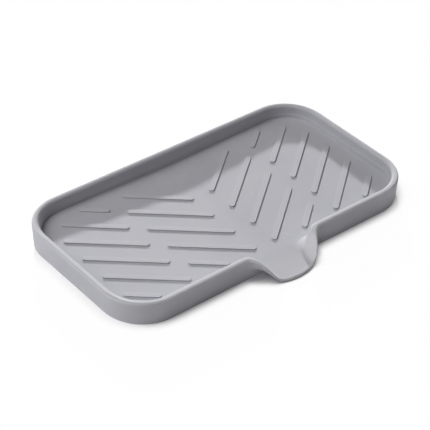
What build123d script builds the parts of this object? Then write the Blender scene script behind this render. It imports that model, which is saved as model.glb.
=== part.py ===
from build123d import *
from math import atan2, ceil, cos, degrees, hypot, radians, sin, sqrt, tan
import os

# A one-piece silicone drip tray: a shallow drafted tray on a foot ring, whose floor falls
# to the middle of the front and leaves over a pouring spout.
# X runs along the tray, -Y is the spout side, Z is up, and the foot ring stands on Z zero.

# Tray outline
tray_length = 250.0
tray_width = 134.0
tray_height = 17.3
corner_radius = 31.6
outer_draft_angle = 2.8

# Rim and inner wall
rim_width = 4.8
rim_round = 1.9
rim_inner_bevel = 1.0
inner_draft_angle = 5.5
step_height = 11.6
step_drop = 1.6
step_depth = 0.4

# Floor: its top at the middle of the tray, and how it falls to the middle and to the front
floor_height = 5.6
side_fall_angle = 1.0
front_fall_angle = 0.9

# Foot ring, recess and support studs under the floor
foot_ring_width = 6.0
recess_depth = 2.0
stud_diameter = 9.0
stud_draft_angle = 8.0
stud_column_pitch = 76.0
stud_row_pitch = 36.0
stud_columns = 3
stud_rows = 3

# Ribs on the floor: rows that slope from the middle channel up to the side walls
rib_width = 4.0
rib_height = 0.7
rib_angle = 38.5
rib_pitch = 22.5
first_rib_offset = 12.4
channel_half_width = 7.7
cross_gap_start = 54.5
cross_gap_width = 9.4
rib_wall_clearance = 9.4
outer_rib_back_clearance = 6.5
inner_rib_back_clearance = 10.8
rib_field_corner = 27.0
last_rib = 6

# Pouring spout
spout_half_width = 33.8
spout_lip_half_width = 14.4
spout_side_reach = 15.6
spout_reach = 18.3
crest_fall_start = 29.3
crest_fall_end = 10.5
lip_height = 2.6
lip_thickness = 2.0
lip_edge_width = 2.4
chute_setback = 3.0
chute_start_angle = -3.0
chute_end_angle = -6.0
spout_underside_height = 2.4
underside_angle = 6.0
underside_rise_start = 10.0
spout_blend_half_width = 36.0
step_fade_length = 8.0
mouth_seam_depth = 16.5
section_pitch = 2.0
bowl_start = 20.0
bank_start = 8.0
bank_end = 30.0
handle_share = 0.36

front_face = -tray_width / 2
outer_inset = tray_height * tan(radians(outer_draft_angle))
overrun = tray_height


def smooth(share):
    """An even S-curve from 0 to 1 that starts and ends straight: 10t^3 - 15t^4 + 6t^5."""
    held = min(max(share, 0), 1)
    return held ** 3 * (10 - 15 * held + 6 * held ** 2)


def blend(low, high, share):
    """The value that lies the given share of the way from low to high."""
    return low + (high - low) * share


def floor_top(x, y):
    """Height of the sloping floor."""
    return floor_height + abs(x) * tan(radians(side_fall_angle)) + y * tan(radians(front_fall_angle))


def inner_wall_inset(z):
    """Distance from the outer rim edge in to the inner wall, at the height z."""
    inset = rim_width + (tray_height - z) * tan(radians(inner_draft_angle))
    return inset + step_depth if z < step_height else inset


def spout_outline(x):
    """How far the rim's outer edge stands out past the front face: a bowed lip, then curved sides."""
    corner_drop = spout_reach - spout_side_reach
    if abs(x) < spout_lip_half_width:
        return spout_reach - corner_drop * (x / spout_lip_half_width) ** 2
    side_width = spout_half_width - spout_lip_half_width
    share = min((x - spout_lip_half_width) / side_width, 1)
    turn = 2 * corner_drop / spout_lip_half_width * side_width
    return spout_side_reach * (1 - smooth(share)) - turn * share * (1 - share) ** 3


def crest_height(x):
    """Height of the rim where it runs down the sides of the spout."""
    fall = smooth((crest_fall_start - x) / (crest_fall_start - crest_fall_end))
    return blend(tray_height, lip_height, fall)


def crest_width(x):
    """Width of the rim along Y: it thins towards the lip and is cut on the slant at the sides."""
    square_width = blend(lip_edge_width, rim_width, min(x / spout_half_width, 1) ** 2)
    turn = (spout_outline(x + section_pitch) - spout_outline(x - section_pitch)) / (2 * section_pitch)
    return square_width * hypot(1, turn)


def outer_face_point(z):
    """A point of the drafted front face, as Y and Z."""
    return (front_face + outer_inset * (1 - z / tray_height), z)


def step_from(point, angle, length):
    """The point that lies a length away from another, at an angle above +Y."""
    return (point[0] + length * cos(radians(angle)), point[1] + length * sin(radians(angle)))


def foot_inset(x):
    """Distance from the front rim edge in to where the lower wall meets the sloping floor."""
    slope = tan(radians(inner_draft_angle))
    at_front = rim_width + step_depth + (tray_height - floor_top(x, front_face)) * slope
    return at_front / (1 + slope * tan(radians(front_fall_angle)))


def wall_section(x):
    """Corner points of the front wall, cut at x, from the floor seam over the rim to the recess."""
    seam = front_face + mouth_seam_depth
    bowl = smooth((x - bowl_start) / (spout_blend_half_width - bowl_start))
    bank = smooth((x - bank_start) / (bank_end - bank_start))
    rise = smooth((x - underside_rise_start) / (spout_blend_half_width - underside_rise_start))
    foot_y = front_face + foot_inset(x) + chute_setback * (1 - bowl)
    foot = (foot_y, floor_top(x, foot_y))
    crest = crest_height(x)
    outer_corner = (front_face - spout_outline(x), crest)
    inner_corner = (outer_corner[0] + crest_width(x), crest)
    thinning = min(crest_width(x), rim_width) / rim_width
    rounding = rim_round * thinning
    bevel = rim_inner_bevel * thinning
    wall_angle = degrees(atan2(inner_corner[1] - foot[1], foot[0] - inner_corner[0]))
    bank_angle = blend(chute_end_angle, wall_angle, bank)
    foot_angle = blend(chute_start_angle, wall_angle, bowl)
    reach = hypot(foot[0] - inner_corner[0], foot[1] - inner_corner[1]) * handle_share
    inner_shoulder = step_from(inner_corner, -bank_angle, bevel)
    edge = blend(lip_thickness, rim_width, bowl)
    outer_low = (outer_corner[0] + outer_inset * edge / tray_height, crest - edge)
    under_z = blend(spout_underside_height, tray_height / 2, rise)
    under = outer_face_point(under_z)
    under_reach = hypot(under[0] - outer_low[0], under[1] - outer_low[1]) * handle_share
    face_angle = degrees(atan2(under_z - tray_height, outer_inset * (1 - under_z / tray_height)))
    corners = {
        "seam": (seam, floor_top(x, seam)),
        "foot": foot,
        "foot_handle": step_from(foot, 180 - foot_angle, reach),
        "bank_handle": step_from(inner_shoulder, -bank_angle, reach),
        "inner_shoulder": inner_shoulder,
        "inner_corner": inner_corner,
        "crest_inner": (inner_corner[0] - bevel, crest),
        "crest_outer": (outer_corner[0] + rounding, crest),
        "outer_shoulder": (outer_corner[0] + outer_inset * rounding / tray_height, crest - rounding),
        "outer_low": outer_low,
        "low_handle": step_from(outer_low, blend(underside_angle, face_angle, rise), under_reach),
        "under_handle": step_from(under, 180 + blend(underside_angle, face_angle, rise), under_reach),
        "under": under,
        "outer_foot": outer_face_point(0),
        "ring_foot": (front_face + outer_inset + foot_ring_width, 0),
        "ring_top": (front_face + outer_inset + foot_ring_width, recess_depth),
        "seam_low": (seam, recess_depth),
    }
    return corners


def placed(x, point):
    """A point of a section, as X, Y and Z."""
    return (x, point[0], point[1])


def rim_arc(corner):
    """The round between the level crest and the outer wall, tangent to both."""
    return TangentArc(corner["crest_outer"], corner["outer_shoulder"], tangent=(0, -1, 0))


def section_wire(x):
    """The closed outline of the front wall, cut at x, with a curved bank and underside."""
    corner = {name: placed(x, point) for name, point in wall_section(x).items()}
    edges = [
        Line(corner["seam"], corner["foot"]),
        Bezier(corner["foot"], corner["foot_handle"], corner["bank_handle"], corner["inner_shoulder"]),
        Line(corner["inner_shoulder"], corner["crest_inner"]),
        Line(corner["crest_inner"], corner["crest_outer"]),
        rim_arc(corner),
        Line(corner["outer_shoulder"], corner["outer_low"]),
        Bezier(corner["outer_low"], corner["low_handle"], corner["under_handle"], corner["under"]),
        Line(corner["under"], corner["outer_foot"]),
        Line(corner["outer_foot"], corner["ring_foot"]),
        Line(corner["ring_foot"], corner["ring_top"]),
        Line(corner["ring_top"], corner["seam_low"]),
        Line(corner["seam_low"], corner["seam"]),
    ]
    return Wire(edges)


def spout_half():
    """Half of the spout: the front wall lofted from the upright wall to the lip."""
    count = ceil(spout_blend_half_width / section_pitch)
    places = [spout_blend_half_width * number / count for number in range(count + 1)]
    return Solid.make_loft([section_wire(x) for x in places])


def stepped_wire(x, step_shown):
    """The outline of the upright front wall, cut at x, with its step shown or drawn flat."""
    corner = {name: placed(x, point) for name, point in wall_section(x).items()}
    foot = wall_section(x)["foot"]
    top = wall_section(x)["inner_corner"]
    ledge = []
    for z in (step_height - step_drop, step_height):
        flat_y = blend(foot[0], top[0], (z - foot[1]) / (top[1] - foot[1]))
        stepped_y = front_face + inner_wall_inset(z)
        ledge.append(placed(x, (stepped_y if step_shown else flat_y, z)))
    shoulder = corner["inner_shoulder"]
    if step_shown:
        shoulder = placed(x, step_from(top, inner_draft_angle - 90, rim_inner_bevel))
    edges = [
        Line(corner["seam"], corner["foot"]),
        Line(corner["foot"], ledge[0]),
        Line(ledge[0], ledge[1]),
        Line(ledge[1], shoulder),
        Line(shoulder, corner["crest_inner"]),
        Line(corner["crest_inner"], corner["crest_outer"]),
        rim_arc(corner),
        Line(corner["outer_shoulder"], corner["outer_foot"]),
        Line(corner["outer_foot"], corner["ring_foot"]),
        Line(corner["ring_foot"], corner["ring_top"]),
        Line(corner["ring_top"], corner["seam_low"]),
        Line(corner["seam_low"], corner["seam"]),
    ]
    return Wire(edges)


def step_fade():
    """The short stretch of front wall where the inner step runs out beside the spout."""
    start = stepped_wire(spout_blend_half_width, False)
    end = stepped_wire(spout_blend_half_width + step_fade_length, True)
    return Solid.make_loft([start, end], ruled=True)


def wall_profile(x):
    """The face of the wall, cut at x, that sweeps round the tray."""
    corner = {name: placed(x, point) for name, point in wall_section(x).items()}
    top = wall_section(x)["inner_corner"]
    shoulder = placed(x, step_from(top, inner_draft_angle - 90, rim_inner_bevel))
    low = placed(x, (front_face + inner_wall_inset(recess_depth), recess_depth))
    ledge_low = placed(x, (front_face + inner_wall_inset(step_height - step_drop), step_height - step_drop))
    ledge_top = placed(x, (front_face + inner_wall_inset(step_height), step_height))
    edges = [
        Line(low, ledge_low),
        Line(ledge_low, ledge_top),
        Line(ledge_top, shoulder),
        Line(shoulder, corner["crest_inner"]),
        Line(corner["crest_inner"], corner["crest_outer"]),
        rim_arc(corner),
        Line(corner["outer_shoulder"], corner["outer_foot"]),
        Line(corner["outer_foot"], corner["ring_foot"]),
        Line(corner["ring_foot"], corner["ring_top"]),
        Line(corner["ring_top"], low),
    ]
    return make_face(Wire(edges).edges())


def wall_ring():
    """The tray wall: its profile swept round the rounded outline."""
    start_x = spout_blend_half_width + step_fade_length
    straight_x = tray_length / 2 - corner_radius
    straight_y = tray_width / 2 - corner_radius
    side_x = tray_length / 2
    side_y = tray_width / 2
    path = Wire([
        Line((start_x, -side_y), (straight_x, -side_y)),
        JernArc((straight_x, -side_y), (1, 0), corner_radius, 90),
        Line((side_x, -straight_y), (side_x, straight_y)),
        JernArc((side_x, straight_y), (0, 1), corner_radius, 90),
        Line((straight_x, side_y), (-straight_x, side_y)),
        JernArc((-straight_x, side_y), (-1, 0), corner_radius, 90),
        Line((-side_x, straight_y), (-side_x, -straight_y)),
        JernArc((-side_x, -straight_y), (0, -1), corner_radius, 90),
        Line((-straight_x, -side_y), (-start_x, -side_y)),
    ])
    return sweep(wall_profile(start_x), path=path)


def inset_outline(inset):
    """The tray outline drawn in by an inset."""
    return RectangleRounded(tray_length - 2 * inset, tray_width - 2 * inset, corner_radius - inset)


def floor_slab():
    """The floor: two gentle planes that fall to the middle and to the front, over a flat recess."""
    side_x = tray_length / 2
    profile = make_face(Polyline(
        (0, front_face, floor_top(0, front_face)),
        (side_x, front_face, floor_top(side_x, front_face)),
        (side_x, front_face, -overrun),
        (-side_x, front_face, -overrun),
        (-side_x, front_face, floor_top(side_x, front_face)),
        close=True,
    ).edges())
    slope = tan(radians(front_fall_angle))
    planes = extrude(profile, amount=tray_width * hypot(1, slope), dir=(0, 1, slope))
    slab = extrude(Pos(0, 0, recess_depth) * inset_outline(rim_width / 2), amount=tray_height) & planes
    seam_x = spout_blend_half_width + step_fade_length
    seam_y = front_face + mouth_seam_depth
    mouth = Pos(0, seam_y - overrun / 2, 0) * Box(2 * seam_x, overrun, 2 * overrun)
    return slab - mouth


def support_studs():
    """Round drafted studs under the floor that stand on the same plane as the foot ring."""
    spread = recess_depth * tan(radians(stud_draft_angle))
    foot = Circle(stud_diameter / 2)
    root = Pos(0, 0, 2 * recess_depth) * Circle(stud_diameter / 2 + 2 * spread)
    stud = loft([foot, root], ruled=True)
    return [place * stud for place in GridLocations(stud_column_pitch, stud_row_pitch, stud_columns, stud_rows)]


def rib_row_offset(number):
    """Where the middle line of a rib row crosses the middle of the tray."""
    return first_rib_offset - number * rib_pitch


def rib_x_at(number, y):
    """Distance from the middle of the tray at which a rib row reaches y."""
    return (y - rib_row_offset(number)) / tan(radians(rib_angle))


def outer_rib_end(number):
    """Distance from the middle at which a rib row meets the rounded edge of the rib field."""
    slope = tan(radians(rib_angle))
    side = tray_length / 2 - foot_inset(0) - rib_wall_clearance
    back = tray_width / 2 - foot_inset(0) - outer_rib_back_clearance
    centre_x = side - rib_field_corner
    centre_y = back - rib_field_corner
    if rib_row_offset(number) + slope * side <= centre_y:
        return side
    if rib_x_at(number, back) <= centre_x:
        return rib_x_at(number, back)
    lift = rib_row_offset(number) + slope * centre_x - centre_y
    square = 1 + slope * slope
    spread = sqrt((slope * lift) ** 2 - square * (lift ** 2 - rib_field_corner ** 2))
    return centre_x + (spread - slope * lift) / square


def rib_stretches(number):
    """The inner and outer stretches of a rib row, as distances from the middle of the tray."""
    front = front_face + foot_inset(0) + rib_wall_clearance
    back = tray_width / 2 - foot_inset(0) - inner_rib_back_clearance
    front_end = rib_x_at(number, front)
    inner = (max(channel_half_width, front_end), min(cross_gap_start, rib_x_at(number, back)))
    outer = (max(cross_gap_start + cross_gap_width, front_end), outer_rib_end(number))
    return [stretch for stretch in (inner, outer) if stretch[1] - stretch[0] > 2 * rib_width]


def rib_bar(length):
    """One raised rib with round ends, rooted in the floor as deep as it stands out."""
    return extrude(Pos(0, 0, -rib_height) * SlotOverall(length, rib_width), amount=2 * rib_height)


def floor_ribs():
    """The ribs of the right half, laid on the sloping floor."""
    side_slope = tan(radians(side_fall_angle))
    front_slope = tan(radians(front_fall_angle))
    surface = Plane(origin=(0, 0, floor_height), x_dir=(1, 0, side_slope), z_dir=(-side_slope, -front_slope, 1))
    ribs = []
    for number in range(last_rib + 1):
        for start, end in rib_stretches(number):
            middle = (start + end) / 2
            middle_y = rib_row_offset(number) + middle * tan(radians(rib_angle))
            bar = rib_bar((end - start) / cos(radians(rib_angle)))
            ribs.append(surface.location * Pos(middle, middle_y, 0) * Rot(0, 0, rib_angle) * bar)
    return ribs


def silicone_tray():
    """The whole moulding."""
    right_side = [spout_half(), step_fade()] + floor_ribs()
    left_side = [mirror(piece, about=Plane.YZ) for piece in right_side]
    return Part() + wall_ring() + floor_slab() + right_side + left_side + support_studs()


if __name__ == "__main__":
    os.makedirs("parts", exist_ok=True)
    export_step(silicone_tray(), "parts/silicone_tray.step")
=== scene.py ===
import logging
import math
from dataclasses import dataclass
from enum import Enum
from typing import Any, Dict, List, Mapping, Optional, Tuple, Union

import bpy
from mathutils import Matrix, Vector

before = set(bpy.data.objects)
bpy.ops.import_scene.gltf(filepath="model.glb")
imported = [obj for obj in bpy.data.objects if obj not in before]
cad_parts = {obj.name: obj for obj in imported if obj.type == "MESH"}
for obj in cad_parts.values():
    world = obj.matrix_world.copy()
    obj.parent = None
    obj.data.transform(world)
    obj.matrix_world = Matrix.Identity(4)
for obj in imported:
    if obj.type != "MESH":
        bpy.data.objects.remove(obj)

logging.basicConfig(level=logging.INFO, format="%(name)s: %(message)s")
LOG = logging.getLogger("drip_tray")

Triple = Tuple[float, float, float]
Colour = Tuple[float, float, float, float]
Zone = Tuple[float, float]
Cover = Tuple[float, float]

WHITE: Colour = (1.0, 1.0, 1.0, 1.0)
ORIGIN: Triple = (0.0, 0.0, 0.0)
UP: Triple = (0.0, 0.0, 1.0)
TRAY_NODE = "silicone_tray"


def linear(red: float, green: float, blue: float) -> Colour:
    """Turns a colour as a screen shows it, 0 to 255, into the linear colour that a shader takes.

    Args:
        red: the screen's red.
        green: the screen's green.
        blue: the screen's blue.

    Returns:
        The linear colour, opaque.
    """
    toe_end, toe_slope, offset, gamma = 0.04045, 12.92, 0.055, 2.4
    shares = [value / 255 for value in (red, green, blue)]
    bent = [
        share / toe_slope if share <= toe_end else ((share + offset) / (1 + offset)) ** gamma
        for share in shares
    ]
    return (bent[0], bent[1], bent[2], 1.0)


class Ray(Enum):
    """The rays that see the white studio as it is, by the name of their socket."""

    FROM_CAMERA = "Is Camera Ray"
    MIRRORED = "Is Glossy Ray"
    LET_THROUGH = "Is Transmission Ray"


class Mixed(Enum):
    """What a Mix node mixes, with the numbers of its two inputs and of its output."""

    VECTOR = (4, 5, 1)
    RGBA = (6, 7, 2)


class Shade:
    """One output of a material's nodes, which adds Math nodes when it is used in a sum."""

    def __init__(self, bench: "NodeBench", socket: Optional[bpy.types.NodeSocket]) -> None:
        """Keeps the bench that the nodes stand on and the socket that is wrapped."""
        self.bench = bench
        self.socket = socket

    def _math(self, operation: str, first: Any, second: Any, clamp: bool = False) -> "Shade":
        """Adds one Math node on two values."""
        return self.bench.node(
            "ShaderNodeMath", {"operation": operation, "use_clamp": clamp}, {0: first, 1: second}
        )

    def __add__(self, other: Any) -> "Shade":
        """This plus the other."""
        return self._math("ADD", self, other)

    __radd__ = __add__

    def __sub__(self, other: Any) -> "Shade":
        """This less the other."""
        return self._math("SUBTRACT", self, other)

    def __rsub__(self, other: Any) -> "Shade":
        """The other less this."""
        return self._math("SUBTRACT", other, self)

    def __mul__(self, other: Any) -> "Shade":
        """This times the other."""
        return self._math("MULTIPLY", self, other)

    __rmul__ = __mul__

    def __neg__(self) -> "Shade":
        """This with the other sign."""
        return self._math("MULTIPLY", self, -1)

    def absolute(self) -> "Shade":
        """This without its sign."""
        return self._math("ABSOLUTE", self, 0.0)

    def output(self, name: str) -> "Shade":
        """Another output of the node that this comes from."""
        return Shade(self.bench, self.socket.node.outputs[name])

    def clamped(self) -> "Shade":
        """This held between 0 and 1."""
        return self._math("ADD", self, 0.0, clamp=True)


class NodeBench:
    """Builds one node tree: every node that isn't plain maths comes from its node method."""

    def __init__(self, tree: bpy.types.NodeTree) -> None:
        """Takes an empty tree."""
        self.tree = tree
        self.tree.nodes.clear()

    def node(
        self,
        kind: str,
        settings: Optional[Mapping[str, Any]] = None,
        inputs: Optional[Mapping[Union[int, str], Any]] = None,
        output: Union[int, str] = 0,
    ) -> Shade:
        """Adds a node, sets it and feeds its sockets.

        Args:
            kind: the node's type.
            settings: its own settings, such as an operation.
            inputs: values or links for its sockets, by name or number.
            output: the socket that is handed on.

        Returns:
            The chosen output.
        """
        made = self.tree.nodes.new(kind)
        for name, value in (settings or {}).items():
            setattr(made, name, value)
        for name, value in (inputs or {}).items():
            socket = made.inputs[name]
            if isinstance(value, Shade):
                self.tree.links.new(value.socket, socket)
            else:
                socket.default_value = value
        return Shade(self, made.outputs[output]) if len(made.outputs) else Shade(self, None)

    def seen(self) -> Shade:
        """Tells the rays that see the studio from those that only carry its light.

        Returns:
            1 for a ray from the camera or one mirrored or let through, and 0 for any other.
        """
        path = self.node("ShaderNodeLightPath")
        direct, mirrored, through = (path.output(ray.value) for ray in Ray)
        return (direct + mirrored + through).clamped()

    def axes(self, vector: Shade) -> Tuple[Shade, Shade, Shade]:
        """The X, Y and Z of a vector."""
        parts = self.node("ShaderNodeSeparateXYZ", None, {"Vector": vector})
        return parts.output("X"), parts.output("Y"), parts.output("Z")

    def vector(self, operation: str, first: Any, second: Any = ORIGIN) -> Shade:
        """One Vector Math node on two vectors."""
        return self.node("ShaderNodeVectorMath", {"operation": operation}, {0: first, 1: second})

    def ramp(self, value: Shade, low: float, high: float) -> Shade:
        """Stretches a value with soft ends.

        Args:
            value: the value.
            low: what becomes 0.
            high: what becomes 1.

        Returns:
            The stretched value, held between 0 and 1.
        """
        return self.node(
            "ShaderNodeMapRange",
            {"interpolation_type": "SMOOTHSTEP"},
            {"Value": value, "From Min": low, "From Max": high, "To Min": 0.0, "To Max": 1.0},
        )

    def mix(
        self, share: Union[Shade, float], first: Any, second: Any, kind: Mixed = Mixed.RGBA
    ) -> Shade:
        """Mixes two colours or two vectors.

        Args:
            share: how far the mixture lies from the first towards the second.
            first: what it is at 0.
            second: what it is at 1.
            kind: what is mixed.

        Returns:
            The mixture.
        """
        one, other, result = kind.value
        sockets = {0: share, one: first, other: second}
        return self.node("ShaderNodeMix", {"data_type": kind.name}, sockets, result)


class Spot:
    """Where a point of the tray lies and which way it faces, in object coordinates.

    Args:
        bench: the bench that the material's nodes stand on.
    """

    def __init__(self, bench: NodeBench) -> None:
        """Reads the coordinates once for all that is worked out from them."""
        self.place = bench.node("ShaderNodeTexCoord", output="Object")
        self.x, self.y, self.z = bench.axes(self.place)
        self.forward = -self.y
        self.upward = bench.axes(self.place.output("Normal"))[2]


@dataclass(frozen=True)
class Mottle:
    """A soft uneven pattern in the silicone: a noise.

    Args:
        size: about how wide its blotches are, in metres.
        detail: how many finer noises are added to the first.
        roughness: how strong the finer ones are.
    """

    size: float
    detail: float = 2.0
    roughness: float = 0.5

    def over(self, bench: NodeBench, spot: Spot) -> Shade:
        """Lays the pattern over the tray.

        Args:
            bench: the bench that the material's nodes stand on.
            spot: the point that it is asked for.

        Returns:
            The noise, around 0.5.
        """
        look = {"Scale": 1 / self.size, "Detail": self.detail, "Roughness": self.roughness}
        inputs = {"Vector": spot.place, **look}
        return bench.node("ShaderNodeTexNoise", {"noise_dimensions": "3D"}, inputs, "Fac")


@dataclass(frozen=True)
class FloorPlanes:
    """The tray's floor, two planes that fall to the middle and to the front.

    Args:
        height: how high the floor's middle lies, in metres.
        side_fall: how steeply it rises towards each end, in degrees.
        front_fall: how steeply it rises towards the back, in degrees.
    """

    height: float = 0.0056
    side_fall: float = 1.0
    front_fall: float = 0.9

    def above(self, spot: Spot) -> Shade:
        """Finds how high a point lies above the floor.

        Args:
            spot: the point.

        Returns:
            z - height - |x| tan(side_fall) - y tan(front_fall), in metres.
        """
        side = spot.x.absolute() * math.tan(math.radians(self.side_fall))
        front = spot.y * math.tan(math.radians(self.front_fall))
        return spot.z - self.height - side - front


@dataclass(frozen=True)
class RimLine:
    """The tray's outline, which tells how far in a point lies and which way leads out.

    Args:
        half_length: half the tray's length, in metres.
        half_width: half its width without the spout, in metres.
        corner: the outline's corner radius, in metres.
        end_lean: how far the rim's top leans inwards at both ends, as the tangent of its angle.
        back_lean: how far it leans inwards at the back. At the front it stands level.
        lean_zone: how far in from the outline the lean begins and is full, in metres.
    """

    half_length: float = 0.125
    half_width: float = 0.067
    corner: float = 0.0316
    end_lean: float = 0.21
    back_lean: float = 0.16
    lean_zone: Zone = (0.0, 0.0009)

    def leant(self, bench: NodeBench, place: Shade, normal: Shade, share: Shade) -> Shade:
        """Leans a normal inwards.

        The outline is all that lies within a corner's radius of a smaller rectangle. The way from
        that rectangle to the point leads outwards, and a part of it is taken from the normal.

        Args:
            bench: the bench that the nodes stand on.
            place: the point, in object coordinates.
            normal: the normal before it leans.
            share: how much of the lean applies, from 0 to 1.

        Returns:
            The normal that leans, of length 1.
        """
        higher_than_tray = 1.0
        core = (
            self.half_length - self.corner,
            self.half_width - self.corner,
            higher_than_tray,
        )
        below = bench.vector("MINIMUM", place, core)
        nearest = bench.vector("MAXIMUM", below, tuple(-side for side in core))
        past = bench.vector("SUBTRACT", place, nearest)
        length = bench.node("ShaderNodeVectorMath", {"operation": "LENGTH"}, {0: past}, "Value")
        outwards = bench.vector("NORMALIZE", past)
        end, back, _ = bench.axes(outwards)
        lean = end * end * self.end_lean + bench.ramp(back, 0.0, 1.0) * self.back_lean
        amount = -(bench.ramp(self.corner - length, *self.lean_zone) * share * lean)
        inwards = {"Vector": outwards, "Scale": amount}
        push = bench.node("ShaderNodeVectorMath", {"operation": "SCALE"}, inwards)
        return bench.vector("NORMALIZE", bench.vector("ADD", normal, push))


@dataclass(frozen=True)
class Easing:
    """How sharp edges are shaded as rounded ones.

    Args:
        reach: how far an edge is eased to both sides, in metres.
        samples: how many places around it are asked for their normal.
    """

    reach: float
    samples: int

    def normal(self, bench: NodeBench) -> Shade:
        """The eased normal."""
        return bench.node("ShaderNodeBevel", {"samples": self.samples}, {"Radius": self.reach})


@dataclass(frozen=True)
class SiliconeFinish:
    """Matte moulded silicone: an even grey with a fine mould grain and faint painted highlights.

    A zone is the pair of values between which something passes from none to full. A cover says
    how far a colour shows where its pattern has nothing, and how much more where it is full.

    Args:
        name: the material's name.
        body: the colour of the pigmented silicone.
        deep: the colour of the slightly denser blotches.
        deep_zone: the noise over which they appear.
        deep_share: how far they have that colour.
        pale: the colour where the surface holds a trace of dust.
        pale_zone: the noise over which it appears.
        pale_share: how far it has that colour.
        painted_top_highlight: a paler colour painted on the rim and on rib tops, a painted
            highlight.
        top_highlight_cover: how far they have it, with the specks.
        rib_highlight_share: the share of that painted highlight on rib tops.
        rib_foot_zone: the heights above the floor over which a rib's top begins, in metres.
        rib_end_zone: the heights above the floor over which it has ended, in metres.
        level_zone: how far a face looks up when it is taken as level.
        painted_spout_highlight: a paler colour painted on the spout, a painted highlight.
        spout_highlight_zone: how far forward that painted highlight begins and is full, in
            metres.
        spout_highlight_cover: how far it shows, with the blotches.
        painted_bank_highlight: a still paler colour painted on the spout's banks, a painted
            highlight.
        bank_zone: how far forward that begins and is full, in metres.
        bank_wall_zone: how far a face looks up between an upright wall and a bank.
        bank_floor_zone: how far a face looks up between a bank and the floor.
        grain: the mould's fine grain.
        speck: small specks.
        flow: the soft unevenness left by moulding.
        cloud: the blotches.
        lead_share: the share of the stronger pattern wherever two are laid together.
        flow_dull_zone: the noise over which the unevenness leaves the surface duller.
        speck_dull_zone: the noise over which the specks do.
        roughness: the least and the most roughness that the mould leaves.
        relief: how strongly the grain stands out.
        relief_height: how high it stands, in metres.
        gloss: the strength of the mirrored light.
        refraction: the silicone's index of refraction.
        edge: the easing of moulded edges.
        crown: the easing of the rim, so far that its top is crowned, and of the lip.
        rim_zone: the heights over which the first easing passes into the second, in metres.
        lip_zone: how far forward it does so on the spout, in metres.
        spout_zone: how far forward the spout's soft curves begin to even out the shading.
        spout_level_zone: how far a face of the spout looks up where that applies.
        spout_evening: how far they even it out.
        planes: the floor that the ribs stand on.
        rim: the outline that the rim follows.
    """

    name: str = "matte_grey_silicone"
    body: Colour = linear(175, 175, 181)
    deep: Colour = linear(169, 169, 176)
    deep_zone: Zone = (0.35, 0.68)
    deep_share: float = 0.6
    pale: Colour = linear(184, 184, 189)
    pale_zone: Zone = (0.5, 0.72)
    pale_share: float = 0.35
    painted_top_highlight: Colour = linear(184, 184, 189)
    top_highlight_cover: Cover = (0.55, 0.5)
    rib_highlight_share: float = 0.35
    rib_foot_zone: Zone = (0.0004, 0.00062)
    rib_end_zone: Zone = (0.0009, 0.0013)
    level_zone: Zone = (0.85, 0.98)
    painted_spout_highlight: Colour = linear(186, 186, 191)
    spout_highlight_zone: Zone = (0.058, 0.076)
    spout_highlight_cover: Cover = (0.7, 0.4)
    painted_bank_highlight: Colour = linear(198, 198, 203)
    bank_zone: Zone = (0.062, 0.07)
    bank_wall_zone: Zone = (0.05, 0.3)
    bank_floor_zone: Zone = (0.75, 0.97)
    grain: Mottle = Mottle(0.00035, roughness=0.6)
    speck: Mottle = Mottle(0.0012)
    flow: Mottle = Mottle(0.009)
    cloud: Mottle = Mottle(0.045, detail=3.0)
    lead_share: float = 0.6
    flow_dull_zone: Zone = (0.3, 0.7)
    speck_dull_zone: Zone = (0.4, 0.7)
    roughness: Tuple[float, float] = (0.58, 0.70)
    relief: float = 0.12
    relief_height: float = 0.00012
    gloss: float = 0.12
    refraction: float = 1.42
    edge: Easing = Easing(0.00035, samples=6)
    crown: Easing = Easing(0.0015, samples=8)
    rim_zone: Zone = (0.0156, 0.0166)
    lip_zone: Zone = (0.0685, 0.073)
    spout_zone: Zone = (0.05, 0.06)
    spout_level_zone: Zone = (0.5, 0.9)
    spout_evening: float = 0.45
    planes: FloorPlanes = FloorPlanes()
    rim: RimLine = RimLine()

    def build(self) -> bpy.types.Material:
        """Makes the material.

        Returns:
            The finished material.
        """
        material = bpy.data.materials.new(self.name)
        material.use_nodes = True
        bench = NodeBench(material.node_tree)
        spot = Spot(bench)
        flow, speck = self.flow.over(bench, spot), self.speck.over(bench, spot)
        flow_dull = bench.ramp(flow, *self.flow_dull_zone)
        speck_dull = bench.ramp(speck, *self.speck_dull_zone)
        least, most = self.roughness
        relief = {
            "Strength": self.relief,
            "Distance": self.relief_height,
            "Height": self._together(self.grain.over(bench, spot), speck),
            "Normal": self._easing(bench, spot),
        }
        surface = {
            "Base Color": self._tone(bench, spot, flow, speck),
            "Roughness": least + self._together(flow_dull, speck_dull) * (most - least),
            "Normal": bench.node("ShaderNodeBump", None, relief),
            "Specular IOR Level": self.gloss,
            "IOR": self.refraction,
        }
        shader = bench.node("ShaderNodeBsdfPrincipled", None, surface)
        bench.node("ShaderNodeOutputMaterial", None, {"Surface": shader})
        return material

    def _together(self, strong: Shade, weak: Shade) -> Shade:
        """Two patterns laid together, the first by its lead_share and the second by the rest."""
        return strong * self.lead_share + weak * (1 - self.lead_share)

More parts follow.
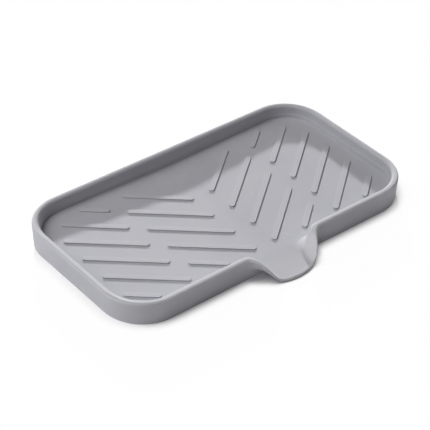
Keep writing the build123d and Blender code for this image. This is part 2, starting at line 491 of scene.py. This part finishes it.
    def _tone(self, bench: NodeBench, spot: Spot, flow: Shade, speck: Shade) -> Shade:
        """Colours the silicone: blotches, dust, and painted highlights on the rim, rib tops,
        spout and its banks.

        Args:
            bench: the bench that the material's nodes stand on.
            spot: the point that is coloured.
            flow: the noise of the moulding's unevenness.
            speck: the noise of small specks.

        Returns:
            The colour.
        """
        cloud = self.cloud.over(bench, spot)
        deep = bench.ramp(cloud, *self.deep_zone) * self.deep_share
        dust = bench.ramp(self._together(flow, speck), *self.pale_zone) * self.pale_share
        # painted highlight: a paler colour on the rim and on level rib tops
        least, more = self.top_highlight_cover
        top_highlight = self._top_highlight_mask(bench, spot) * (least + speck * more)
        # painted highlight: a paler colour on the spout, from the front wall forward
        least, more = self.spout_highlight_cover
        spout_highlight = bench.ramp(spot.forward, *self.spout_highlight_zone) * (least + cloud * more)
        # painted highlight: a still paler colour on the spout's sloping banks, between its walls
        # and its floor
        off_wall = bench.ramp(spot.upward, *self.bank_wall_zone)
        off_floor = 1 - bench.ramp(spot.upward, *self.bank_floor_zone)
        bank = off_wall * off_floor * bench.ramp(spot.forward, *self.bank_zone)
        tone = bench.mix(deep, self.body, self.deep)
        tone = bench.mix(dust, tone, self.pale)
        tone = bench.mix(top_highlight, tone, self.painted_top_highlight)
        tone = bench.mix(spout_highlight, tone, self.painted_spout_highlight)
        return bench.mix(bank, tone, self.painted_bank_highlight)

    def _easing(self, bench: NodeBench, spot: Spot) -> Shade:
        """Eases the edges: a little on the tray, and so far on the rim that its top is crowned.

        Args:
            bench: the bench that the material's nodes stand on.
            spot: the point that is shaded.

        Returns:
            The eased normal.
        """
        on_rim = bench.ramp(spot.z, *self.rim_zone)
        on_lip = bench.ramp(spot.forward, *self.lip_zone)
        edge, crown = self.edge.normal(bench), self.crown.normal(bench)
        eased = bench.mix((on_rim + on_lip).clamped(), edge, crown, Mixed.VECTOR)
        leant = self.rim.leant(bench, spot.place, eased, on_rim)
        level = bench.ramp(spot.upward, *self.spout_level_zone)
        evening = level * bench.ramp(spot.forward, *self.spout_zone) * self.spout_evening
        return bench.vector("NORMALIZE", bench.mix(evening, leant, UP, Mixed.VECTOR))

    def _top_highlight_mask(self, bench: NodeBench, spot: Spot) -> Shade:
        """Masks the painted highlight: the rim, and level faces at the height of the rib tops.

        Args:
            bench: the bench that the material's nodes stand on.
            spot: the point that may be painted lighter.

        Returns:
            0 elsewhere, rib_highlight_share on rib tops and 1 on the rim.
        """
        above = self.planes.above(spot)
        begun = bench.ramp(above, *self.rib_foot_zone)
        unended = 1 - bench.ramp(above, *self.rib_end_zone)
        rib_top = begun * unended * bench.ramp(spot.upward, *self.level_zone)
        return rib_top * self.rib_highlight_share + bench.ramp(spot.z, *self.rim_zone)


@dataclass
class MouldedTray:
    """The tray itself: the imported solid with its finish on.

    Args:
        node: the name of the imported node.
        finish: the silicone.
    """

    node: str = TRAY_NODE
    finish: SiliconeFinish = SiliconeFinish()

    def build(self) -> bpy.types.Object:
        """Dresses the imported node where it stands.

        Returns:
            The node's object.
        """
        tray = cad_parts[self.node]
        silicone = self.finish.build()
        for slot in tray.material_slots:
            slot.material = silicone
        LOG.info("dressed %s with %s", self.node, self.finish.name)
        return tray


def heading(around: float, up: float) -> Vector:
    """Turns two angles into a direction.

    Args:
        around: radians from straight behind the tray, growing towards its right end.
        up: radians above the floor.

    Returns:
        The direction, of length 1.
    """
    level = math.cos(up)
    return Vector((math.sin(around) * level, math.cos(around) * level, math.sin(up)))


def hang(lamp: bpy.types.Light, place: Vector, aim: Vector) -> bpy.types.Object:
    """Hangs a lamp and turns it to a point.

    Args:
        lamp: the lamp.
        place: where it hangs, in metres.
        aim: the point that it faces, in metres.

    Returns:
        The lamp's object, which has the lamp's name.
    """
    holder = bpy.data.objects.new(lamp.name, lamp)
    bpy.context.scene.collection.objects.link(holder)
    holder.location = place
    holder.rotation_euler = (place - aim).to_track_quat("Z", "Y").to_euler()
    return holder


@dataclass(frozen=True)
class FarPanel:
    """A soft light a long way off, which fills a round patch of the sky.

    Args:
        name: the lamp's name.
        around: degrees round from straight behind the tray, growing towards its right end.
        up: degrees above the floor.
        strength: light that falls on a surface square to it, in watts a square metre.
        spread: how wide the patch of sky is, in degrees.
    """

    name: str
    around: float
    up: float
    strength: float
    spread: float = 32.0

    def build(self) -> bpy.types.Object:
        """Hangs the lamp.

        Returns:
            The lamp's object.
        """
        lamp = bpy.data.lights.new(self.name, "SUN")
        lamp.energy = self.strength
        lamp.angle = math.radians(self.spread)
        towards = heading(math.radians(self.around), math.radians(self.up))
        return hang(lamp, towards, Vector(ORIGIN))


@dataclass(frozen=True)
class Softbox:
    """A round soft light close to the tray, which lights its near end more than its far end.

    Args:
        name: the lamp's name.
        place: where its middle hangs, in metres.
        power: in watts.
        aim: the point that it faces, in metres.
        width: its diameter, in metres.
    """

    name: str
    place: Triple
    power: float
    aim: Triple = (-0.10, 0.0, 0.01)
    width: float = 0.22

    def build(self) -> bpy.types.Object:
        """Hangs the lamp, out of the camera's sight.

        Returns:
            The lamp's object.
        """
        lamp = bpy.data.lights.new(self.name, "AREA")
        lamp.shape = "DISK"
        lamp.size = self.width
        lamp.energy = self.power
        holder = hang(lamp, Vector(self.place), Vector(self.aim))
        holder.visible_camera = False
        return holder


@dataclass
class Studio:
    """A white floor and sky, and soft lights that stand mostly behind the tray and to its left.

    Args:
        half_width: half the floor's width, in metres.
        albedo: the colour by which the floor gives light back to the tray.
        whiteness: how far the open floor that the camera sees is drawn towards plain white.
        contact_reach: how far from the tray its contact shadow reaches, in metres.
        contact_open: how open the floor is where that shadow is deepest, and where it ends.
        contact_samples: how many ways the floor looks to find what covers it.
        panels: the lamps that are far off.
        softboxes: the lamps that are close.
    """

    half_width: float = 6.0
    albedo: Colour = (0.93, 0.93, 0.93, 1.0)
    whiteness: float = 0.97
    contact_reach: float = 0.012
    contact_open: Zone = (0.38, 0.9)
    contact_samples: int = 16
    panels: Tuple[FarPanel, ...] = (
        FarPanel("key", around=33.0, up=14.9, strength=4.05, spread=3.0),
        FarPanel("left_front_fill", around=225.0, up=12.0, strength=0.54),
        FarPanel("right_low", around=90.0, up=12.0, strength=0.70),
        FarPanel("left_back_middle", around=315.0, up=38.0, strength=0.82),
        FarPanel("left_back_high", around=315.0, up=62.0, strength=1.20),
    )
    softboxes: Tuple[Softbox, ...] = (
        Softbox("softbox_low", place=(-0.42, 0.0, 0.10), power=0.15),
        Softbox("softbox_high", place=(-0.36, 0.05, 0.34), power=0.23),
    )

    def build(self) -> None:
        """Makes the floor, the lights and the sky."""
        self._floor()
        self._sky()
        for lamp in (*self.panels, *self.softboxes):
            lamp.build()
            LOG.info("hung the lamp %s", lamp.name)

    def _floor(self) -> None:
        """Lays the floor at the tray's foot."""
        mesh = bpy.data.meshes.new("studio_floor")
        ends = (-self.half_width, self.half_width)
        corners = [(x, y, 0.0) for y in ends for x in ends]
        mesh.from_pydata(corners, [], [(0, 1, 3, 2)])
        material = bpy.data.materials.new("white_floor")
        material.use_nodes = True
        bench = NodeBench(material.node_tree)
        matte = bench.node("ShaderNodeBsdfDiffuse", None, {"Color": self.albedo})
        white = bench.node("ShaderNodeEmission", None, {"Color": WHITE, "Strength": 1.0})
        looks, reach = {"samples": self.contact_samples}, {"Distance": self.contact_reach}
        uncovered = bench.node("ShaderNodeAmbientOcclusion", looks, reach, "AO")
        share = bench.seen() * bench.ramp(uncovered, *self.contact_open) * self.whiteness
        both = bench.node("ShaderNodeMixShader", None, {0: share, 1: matte, 2: white})
        bench.node("ShaderNodeOutputMaterial", None, {"Surface": both})
        mesh.materials.append(material)
        floor = bpy.data.objects.new("studio_floor", mesh)
        bpy.context.scene.collection.objects.link(floor)

    def _sky(self) -> None:
        """Surrounds the stage with even white, seen as plain white."""
        world = bpy.data.worlds.new("white_sky")
        world.use_nodes = True
        bpy.context.scene.world = world
        bench = NodeBench(world.node_tree)
        dark = bench.node("ShaderNodeBackground", None, {"Color": WHITE, "Strength": 0.0})
        white = bench.node("ShaderNodeBackground", None, {"Color": WHITE, "Strength": 1.0})
        sky = bench.node("ShaderNodeMixShader", None, {0: bench.seen(), 1: dark, 2: white})
        bench.node("ShaderNodeOutputWorld", None, {"Surface": sky})


@dataclass
class Viewpoint:
    """The camera that sees the tray as the picture does.

    Args:
        around: degrees round the tray, 0 at the spout side, growing towards the right end.
        up: degrees above the floor.
        roll: degrees that the camera leans.
        distance: metres from the point that it looks at.
        target: that point, in metres.
        lens: focal length, in millimetres.
        sensor: the width of the sensor, in millimetres.
    """

    around: float = -40.494
    up: float = 37.244
    roll: float = 2.233
    distance: float = 1.099335
    target: Triple = (-0.00234, 0.00141, 0.0)
    lens: float = 132.5
    sensor: float = 36.0

    def build(self) -> bpy.types.Object:
        """Makes the camera and the scene look through it.

        Returns:
            The camera's object.
        """
        around, up, roll = map(math.radians, (self.around, self.up, self.roll))
        ahead = heading(-around, -up)
        level = Vector((math.cos(around), math.sin(around), 0.0))
        upright = level.cross(ahead)
        right = level * math.cos(roll) + upright * math.sin(roll)
        top = upright * math.cos(roll) - level * math.sin(roll)
        lens = bpy.data.cameras.new("picture_camera")
        lens.lens = self.lens
        lens.sensor_width = self.sensor
        camera = bpy.data.objects.new("picture_camera", lens)
        bpy.context.scene.collection.objects.link(camera)
        turn = Matrix((right, top, -ahead)).transposed()
        place = Vector(self.target) - ahead * self.distance
        camera.matrix_world = Matrix.Translation(place) @ turn.to_4x4()
        bpy.context.scene.camera = camera
        LOG.info("camera stands at %s", tuple(round(axis, 4) for axis in place))
        return camera


def main() -> None:
    """Builds the whole scene, piece by piece."""
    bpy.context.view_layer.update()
    bpy.context.scene.view_settings.view_transform = "Standard"
    Viewpoint().build()
    Studio().build()
    MouldedTray().build()


if __name__ == "__main__":
    main()
